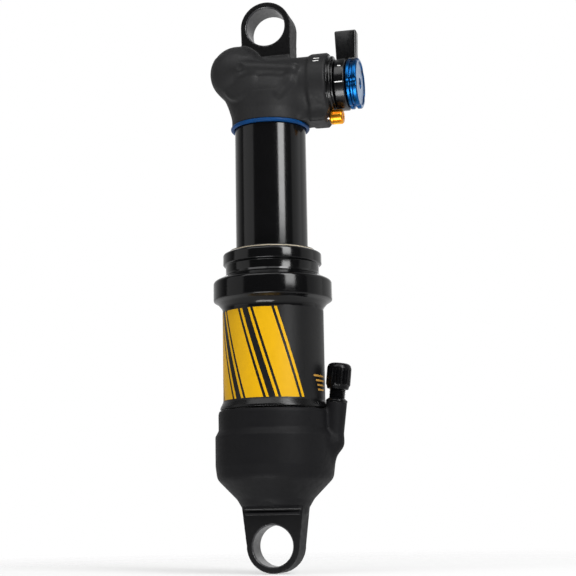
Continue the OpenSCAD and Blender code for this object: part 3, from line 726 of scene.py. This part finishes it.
turned_piece("top_cap", "air_can", [
    (14.65, 96), (17.5, 96), (17.5, 97), (16.3, 97), (16.3, 98.6), (17.98, 98.6), (17.98, 106.42),
    (19.2, 106.42, 0.25), (18.8, 107.5, 0.6), (18.8, 110.6, 0.5), (19.3, 110.75, 0.2),
    (19.85, 111.3, 0.5), (19.85, 115.3, 1.3), (18.7, 115.8, 0.5), (17.25, 115.8), (17.25, 112.2),
    (15.5, 112.2), (15.5, 103.8), (14.65, 103.8), (14.65, 102.4), (16.2, 102.4), (16.2, 99.6),
    (14.65, 99.6)],
    gloss, "gloss_alloy_black", ["can_top_cap"], seg=192, steps=8)

turned_piece("wiper", "air_can", [
    (14.75, 112.25), (17.2, 112.25), (17.2, 115.84), (17.9, 115.84, 0.1), (17.85, 116.1, 0.1),
    (16.25, 116.12), (16.25, 116.56), (17.3, 116.56, 0.05), (17.2, 116.85, 0.15),
    (15.4, 116.95, 0.3), (14.53, 116.7), (14.53, 116.3), (15.3, 114.6)],
    rubber, "black_rubber", ["wiper_seal"], seg=160)
turned_piece("light_ring", "air_can", [
    (16.3, 116.14), (17.4, 116.14, 0.1), (17.4, 116.53, 0.1), (16.3, 116.53)],
    beige, "bare_alloy", ["wiper_retaining_ring"], seg=160)


def travel_ring():
    """The rubber ring on the tube, close under the head."""
    mid_radius, half_thick, height = 15.32, 0.8, 167.79
    big, small = 192, 28
    bm = bmesh.new()
    rows = []
    for i in range(big):
        t = 2 * math.pi * i / big
        rows.append([])
        for k in range(small):
            s = 2 * math.pi * k / small
            r, z = mid_radius + half_thick * math.cos(s), height + half_thick * math.sin(s)
            rows[-1].append(bm.verts.new((r * math.cos(t) * MM, r * math.sin(t) * MM, z * MM)))
    for i in range(big):
        a, b = rows[i], rows[(i + 1) % big]
        for k in range(small):
            m = (k + 1) % small
            f = bm.faces.new((a[k], b[k], b[m], a[m]))
            f.smooth = True
    mesh = new_mesh("travel_o_ring", bm)
    finish_mesh("travel_o_ring", mesh, "travel_ring", [blue_rubber], ["travel_ring"])


travel_ring()

# ------------------------------------------------------------------ adjusters

X_AXIS = along_x(0, BARREL_Z)
LEVER_FROM = BARREL_END + 3.15
LEVER_TO = LEVER_FROM + 4.7


def adjuster_collar():
    """Plug of the barrel, with its rings, the notch over the rebound dial and a small hole."""
    e = BARREL_END
    body = lathe_mesh("adjuster_collar", [
        (0, 15), (8.98, 15, 0.3), (8.98, 18), (8.1, 18), (8.1, 19.3), (8.98, 19.3),
        (8.98, e + 0.02), (12.1, e + 0.02, 0.15), (12.2, e + 0.9, 0.3), (11.7, e + 1.05, 0.1),
        (11.7, e + 1.45, 0.1), (12.1, e + 1.6, 0.2), (12.0, e + 2.3, 0.4), (10.6, e + 2.4),
        (10.6, e + 3, 0.2), (6.5, e + 3), (6.5, 20), (1.6, 20), (1.6, 14.99), (0, 14.99)],
        seg=144, place=X_AXIS)
    notch = lathe_mesh("notch", [(0, e), (3.5, e), (3.5, e + 5), (0, e + 5)], seg=48,
                       place=along_x(REBOUND_Y, REBOUND_Z))
    hole = lathe_mesh("hole", [(0, e - 1), (0.82, e - 1), (0.82, e + 8), (0, e + 8)], seg=24,
                      place=along_x(0, BARREL_Z - 7.6))
    mesh = cut_mesh(body, [notch, hole])
    mark_sharp(mesh)
    finish_mesh("adjuster_collar", mesh, "damper_body", [gloss_x],
                ["compression_housing"])


def lever():
    """Ring between collar and knob. Its paddle stands up, is wider at the root and leans a little."""
    a, b = LEVER_FROM, LEVER_TO
    ring = lathe_mesh("lever_ring", [
        (3.5, a), (6.8, a), (6.8, a + 0.75), (8.4, a + 0.75), (8.4, a), (9.9, a, 0.2),
        (10.6, a + 0.8, 0.3), (10.6, b - 0.4, 0.3), (10.1, b, 0.2), (3.5, b)], seg=144, place=X_AXIS)
    half_wide, root, top = 2.55, BARREL_Z + 9.2, BARREL_Z + 22.3
    paddle = box_mesh((a + 0.2, -half_wide, root), (a + 8.6, half_wide, top), 0.7, segments=4)
    bm = bmesh.new()
    bm.from_mesh(paddle)
    for v in bm.verts:
        up = (v.co.z / MM - BARREL_Z - 9) / 13
        v.co.y *= 1 + 0.1 * (1 - up)
        v.co.x += -0.6 * MM * max(0.0, up - 0.2) / 0.8 if v.co.x / MM < a + 4 else 0.2 * MM * (up - 1)
    bm.to_mesh(paddle)
    bm.free()
    clear = lathe_mesh("clear", [(0, b - 0.6), (10.62, b - 0.6), (10.62, b + 9), (0, b + 9)], seg=96,
                       place=X_AXIS)
    inner = lathe_mesh("inner", [(0, a - 1), (8.9, a - 1), (8.9, b + 1), (0, b + 1)], seg=96,
                       place=X_AXIS)
    paddle = cut_mesh(paddle, [clear, inner])
    mesh = cut_mesh(ring, [paddle], "UNION")
    mark_sharp(mesh)
    finish_mesh("lever", mesh, "mode_lever", [gloss_x], ["mode_lever"])


def knob():
    """Blue knob with finger scallops round its rim and a pale turned face."""
    t = LEVER_TO
    r = 10.25
    count, phase, depth = 5, 0.6, 0.55

    def scallop(angle, radius, h):
        if radius < r - 1.3 or h < t + 0.2:
            return radius
        return radius - depth * max(0.0, math.cos(angle * count + phase)) ** 6

    mesh = lathe_mesh("click_knob", [
        (1.6, t + 0.3), (r - 0.5, t + 0.3, 0.2), (r, t + 0.75, 0.2), (r, t + 1.8, 0.3),
        (r - 0.95, t + 2.1, 0.25), (r - 0.95, t + 2.95, 0.25), (r, t + 3.25, 0.3),
        (r, t + 4.6, 0.4), (r - 0.6, t + 5.0, 0.3), (9.0, t + 5.0, 0.2), (8.5, t + 4.4, 0.3),
        (4.4, t + 4.5, 0.4), (2.2, t + 4.7, 0.2), (2.2, t + 3), (1.6, t + 3)],
        seg=240, place=X_AXIS, warp=scallop)
    mark_sharp(mesh)
    ends = [1 if p.normal.x > 0.9 and p.center.x > (t + 3.5) * MM else 0 for p in mesh.polygons]
    finish_mesh("click_knob", mesh, "low_speed_knob", [blue, blue_end],
                ["low_speed_knob"])
    mesh.polygons.foreach_set("material_index", ends)


def gold_knob():
    """Gold rebound dial with slots cut along its rim."""
    e = BARREL_END
    r = 3.0
    count, depth = 7, 0.4

    def slots(angle, radius, h):
        if radius < 2.5 or h < e + 1.9:
            return radius
        return radius - depth * (math.cos(angle * count) > 0.4)

    mesh = lathe_mesh("rebound_dial", [
        (0.95, e + 0.1), (1.4, e + 0.1), (1.4, e + 0.5), (2.5, e + 0.5, 0.2), (r, e + 1.0, 0.3),
        (r, e + 1.8, 0.1), (r, e + 2.0), (r, e + 5.2, 0.3), (2.45, e + 5.8, 0.2),
        (1.3, e + 5.8, 0.1), (1.2, e + 5), (0.95, e + 5)],
        seg=192, place=along_x(REBOUND_Y, REBOUND_Z), warp=slots)
    mark_sharp(mesh)
    finish_mesh("rebound_dial", mesh, "rebound_knob", [gold], ["rebound_knob"])


adjuster_collar()
lever()
knob()
gold_knob()

turned_piece("reservoir_plug", "damper_body", [
    (1.9, 12), (9.28, 12), (9.28, 13.3), (8.35, 13.3), (8.35, 14.6), (9.28, 14.6),
    (9.28, 16.1, 0.2), (7.2, 16.15, 0.2), (6.8, 15.4, 0.3), (4.4, 15.4, 0.3), (4.1, 16.1, 0.2),
    (1.9, 16.1)],
    gloss, "gloss_alloy_black", ["reservoir_cap"], place=along_y(RES_X, RES_Z), seg=128)

# ------------------------------------------------------------------ air valve


def threads(low, high, pitch, r, depth):
    """Outline points of a row of thread ridges between two heights."""
    out = []
    h = low
    while h + pitch <= high:
        out += [(r - depth, h), (r, h + pitch * 0.5)]
        h += pitch
    return out + [(r - depth, high)]


turned_piece("valve_body", "air_can", [
    (1.2, -4.9), (2.98, -4.9), (2.98, -3.2), (2.2, -3.2), (2.2, -1.8), (2.98, -1.8), (2.98, 0.02),
    (4.2, 0.02, 0.1), (4.25, 0.9, 0.3), (3.5, 1.5, 0.3), *threads(2.0, 5.2, 0.62, 3.25, 0.3),
    (3.55, 5.9), *threads(6.2, 13.0, 0.8, 3.83, 0.3), (3.3, 13.5, 0.2), (1.95, 13.5), (1.95, 4),
    (1.2, 4)],
    gloss, "gloss_alloy_black", ["valve_stem"], place=along_valve(), seg=96)


def valve_cap():
    """Dust cap, fluted between two heights."""
    low, high = 6.7, 13.6
    count, depth = 20, 0.32

    def flutes(angle, radius, h):
        if radius < 4.3 or h < low or h > high:
            return radius
        fade = min(1, (h - low) / 0.6, (high - h) / 1.0)
        return radius - depth * fade * max(0.0, math.cos(angle * count)) ** 2

    rows = [(4.8, h) for h in (7.0, 7.3, 8, 9, 10, 11, 12, 12.6, 13.0, 13.4)]
    mesh = lathe_mesh("dust_cap", [
        (3.9, 5.35), (4.2, 5.35, 0.15), (4.45, 6.5, 0.3), *rows, (4.72, 13.8), (4.45, 14.6),
        (3.9, 15.2), (3.1, 15.5), (0, 15.6), (0, 14.22), (3.9, 14.22)],
        place=along_valve(), seg=160, warp=flutes)
    mark_sharp(mesh)
    finish_mesh("dust_cap", mesh, "valve_cap", [plastic], ["valve_cap"])


valve_cap()

# ------------------------------------------------------------------ printed marks


def wrapped(name, outlines, radius, body, shader):
    """Thin printed shapes on a cylinder about Z. Outlines are (arc length, height) in millimetres."""
    lift, thick, step = 0.005, 0.04, 0.6
    bm = bmesh.new()
    for outline in outlines:
        verts = [bm.verts.new((u, w, 0)) for u, w in outline]
        bm.faces.new(verts)
    span = [v.co.x for v in bm.verts]
    at = min(span) + step
    while at < max(span):
        bmesh.ops.bisect_plane(bm, geom=bm.verts[:] + bm.edges[:] + bm.faces[:],
                               plane_co=(at, 0, 0), plane_no=(1, 0, 0))
        at += step
    top = bmesh.ops.extrude_face_region(bm, geom=bm.faces[:])
    raised = {v for v in top["geom"] if isinstance(v, bmesh.types.BMVert)}
    for v in bm.verts:
        r = radius + (thick if v in raised else lift)
        angle = v.co.x / radius
        v.co = Vector((r * math.sin(angle), -r * math.cos(angle), v.co.y)) * MM
    bmesh.ops.recalc_face_normals(bm, faces=bm.faces[:])
    mesh = new_mesh(name, bm)
    mark_sharp(without_slivers(mesh), 40)
    finish_mesh(name, mesh, body, [shader])


def slanted(u, width, low, high, lean):
    """A bar between two heights, whose top is shifted sideways by a share of its height."""
    shift = (high - low) * lean
    return [(u, low), (u + width, low), (u + width + shift, high), (u + shift, high)]


SLEEVE_R = 20.2
# Each stripe is a wide core between two thin lines. They repeat round the sleeve.
LINE, GAP, CORE = 1.1, 1.1, 7.4
STRIPES_LOW, STRIPES_HIGH, STRIPES_LEAN = 56.4, 91.6, -0.31
bars = []
for right_edge in (17.4, 3.0, -11.4, -25.8):
    left = right_edge - 4 * LINE - CORE
    for offset, width in ((0, LINE), (LINE + GAP, CORE), (2 * GAP + LINE + CORE, LINE)):
        bars.append(slanted(left + offset, width, STRIPES_LOW, STRIPES_HIGH, STRIPES_LEAN))
wrapped("sleeve_stripes", bars, SLEEVE_R, "air_can", yellow)
# The lines of small print, as plain bars.
NOTE_TALL = 0.75
notes = [slanted(u, width, z, z + NOTE_TALL, 0)
         for u, width, z in (
             (22.6, 9.6, 64.9), (23.9, 8.4, 63.1), (24.9, 7.6, 61.3), (25.4, 7.2, 59.5))]
wrapped("sleeve_note_bars", notes, SLEEVE_R, "air_can", dim_yellow)


def ticks(name, body, radius, marks):
    """White index lines on an adjuster: (degrees up from the front, X of the start, length, height)."""
    cuts = 3
    bm = bmesh.new()
    for turn, start, length, tall in marks:
        half = tall / radius / 2
        rows = []
        for k in range(cuts + 1):
            t = math.radians(turn) - half + 2 * half * k / cuts
            rows.append([[Vector((x, -r * math.cos(t), BARREL_Z + r * math.sin(t))) * MM
                          for r in (radius + 0.01, radius + 0.05)] for x in (start, start + length)])
        grid = [[[bm.verts.new(c) for c in pair] for pair in row] for row in rows]
        for a, b in zip(grid, grid[1:]):
            bm.faces.new((a[0][1], a[1][1], b[1][1], b[0][1]))
            bm.faces.new((a[0][0], b[0][0], b[1][0], a[1][0]))
            bm.faces.new((a[0][0], a[0][1], b[0][1], b[0][0]))
            bm.faces.new((a[1][1], a[1][0], b[1][0], b[1][1]))
        for row in (grid[0], grid[-1]):
            bm.faces.new((row[0][0], row[0][1], row[1][1], row[1][0]))
    bmesh.ops.recalc_face_normals(bm, faces=bm.faces[:])
    mesh = new_mesh(name, bm)
    mark_sharp(mesh)
    finish_mesh(name, mesh, body, [white])


ticks("lever_ticks", "mode_lever", 10.6, [
    (-10, LEVER_FROM + 0.9, 3.2, 0.45), (29.5, LEVER_FROM + 2.0, 1.3, 0.45)])
# The thick end of the barrel is a blend, so its radius is looked up in the field, where the ticks go.
tick_x, tick_turn = 21.8, 0.65
probe = np.arange(12.0, 15.0, 0.01)
flange = np.stack([np.full(len(probe), tick_x), -probe * math.cos(tick_turn),
                   BARREL_Z + probe * math.sin(tick_turn)], 1)
surface = float(probe[np.argmax(head_field(flange) > 0)])
ticks("barrel_tick", "damper_body", surface, [(41, 20.8, 2.4, 0.5), (34, 20.8, 2.4, 0.5)])

# ------------------------------------------------------------------ CAD nodes that show as they are

LOOKS = {
    "bright_steel": steel, "bare_alloy": alloy, "bearing_bronze": bronze, "black_rubber": rubber,
    "glass_filled_plastic": nylon, "gloss_alloy_black": gloss, "forged_alloy_black": cast,
    "blue_rubber": blue_rubber, "blue_anodised": blue, "gold_anodised": gold, "cap_plastic": plastic}
for part in frame["record"]["subparts"]:
    o = frame["nodes"][part["node"]]
    o.data.materials.clear()
    o.data.materials.append(LOOKS[part["material_slot"]].m)

# ------------------------------------------------------------------ floor, world and lights


def floor():
    """A pale floor that melts into the white surroundings a little way from the shock."""
    full_to, gone_from, strength = 60, 420, 0.5  # millimetres from the lower eye, and opacity
    s = Shader("pale_floor", (0.9, 0.9, 0.9), 0.75, **{"Specular IOR Level": 0.2}).tint(0.01, 0.01)
    far = s.add("ShaderNodeVectorMath", {"Vector": s.mm}, operation="LENGTH").outputs["Value"]
    fade = s.remap(far, strength, 0, full_to, gone_from)
    clear = s.add("ShaderNodeBsdfTransparent")
    mix = s.add("ShaderNodeMixShader", {0: fade, 1: clear.outputs[0], 2: s.bsdf.outputs[0]})
    s.set(s.tree.nodes["Material Output"], {"Surface": mix.outputs[0]})
    mesh = bpy.data.meshes.new("floor")
    half, z = 0.5, -0.0107
    corners = [(-half, -half, z), (half, -half, z), (half, half, z), (-half, half, z)]
    mesh.from_pydata(corners, [], [(0, 1, 2, 3)])
    mesh.materials.append(s.m)
    new_object("floor", mesh)


def world():
    """Light from behind and some from below, while the camera sees plain white."""
    w = bpy.data.worlds.new("studio")
    bpy.context.scene.world = w
    w.use_nodes = True
    tree = w.node_tree
    plain = (1, 1, 1, 1)
    coords = add_node(tree, "ShaderNodeTexCoord")
    sep = add_node(tree, "ShaderNodeSeparateXYZ", {0: coords.outputs["Generated"]})
    behind = add_node(tree, "ShaderNodeMapRange", {
        "Value": sep.outputs["Y"], "From Min": -0.1, "From Max": 0.8, "To Min": 0.05, "To Max": 0.6},
        interpolation_type="SMOOTHSTEP")
    below = add_node(tree, "ShaderNodeMapRange", {
        "Value": sep.outputs["Z"], "From Min": -0.05, "From Max": -0.7, "To Min": 0.0, "To Max": 0.5})
    both = add_node(tree, "ShaderNodeMath", {
        0: behind.outputs["Result"], 1: below.outputs["Result"]}, operation="ADD")
    lit = tree.nodes["Background"]
    fill(tree, lit, {"Color": plain, "Strength": both.outputs[0]})
    seen = add_node(tree, "ShaderNodeBackground", {"Color": plain, "Strength": 1.0})
    path = add_node(tree, "ShaderNodeLightPath")
    mix = add_node(tree, "ShaderNodeMixShader", {
        0: path.outputs["Is Camera Ray"], 1: lit.outputs[0], 2: seen.outputs[0]})
    fill(tree, tree.nodes["World Output"], {"Surface": mix.outputs[0]})


def softbox(name, azimuth, elevation, distance, width, height, radiance):
    """A rectangular lamp aimed at the middle of the shock, of a given brightness per area."""
    data = bpy.data.lights.new(name, "AREA")
    data.shape = "RECTANGLE"
    data.size, data.size_y = width, height
    data.energy = radiance * math.pi * width * height
    obj = new_object(name, data)
    back = outward(azimuth, elevation)
    obj.location = Vector(LAMP_AIM) + back * distance
    obj.rotation_euler = (-back).to_track_quat("-Z", "Y").to_euler()
    obj.visible_camera = False


# Name, azimuth, elevation, distance, width, height, radiance. Degrees and metres.
LAMP_AIM = (0, 0, 0.105)
LAMPS = (
    ("strip", 48, 30, 1.3, 0.44, 1.0, 11.2),
    ("key", 30, 58, 1.4, 1.0, 0.8, 1.7),
    ("fill", -30, 52, 1.4, 1.0, 0.8, 2.5),
    ("low", -8, -50, 1.3, 0.7, 0.5, 14.0),
    ("left", -64, 8, 1.5, 1.1, 1.7, 0.6),
    ("right", 104, 8, 1.5, 1.1, 1.7, 0.36),
    ("back", 190, 25, 1.6, 1.2, 1.2, 0.6))

floor()
world()
for lamp in LAMPS:
    softbox(*lamp)
bpy.context.scene.view_settings.view_transform = "Standard"
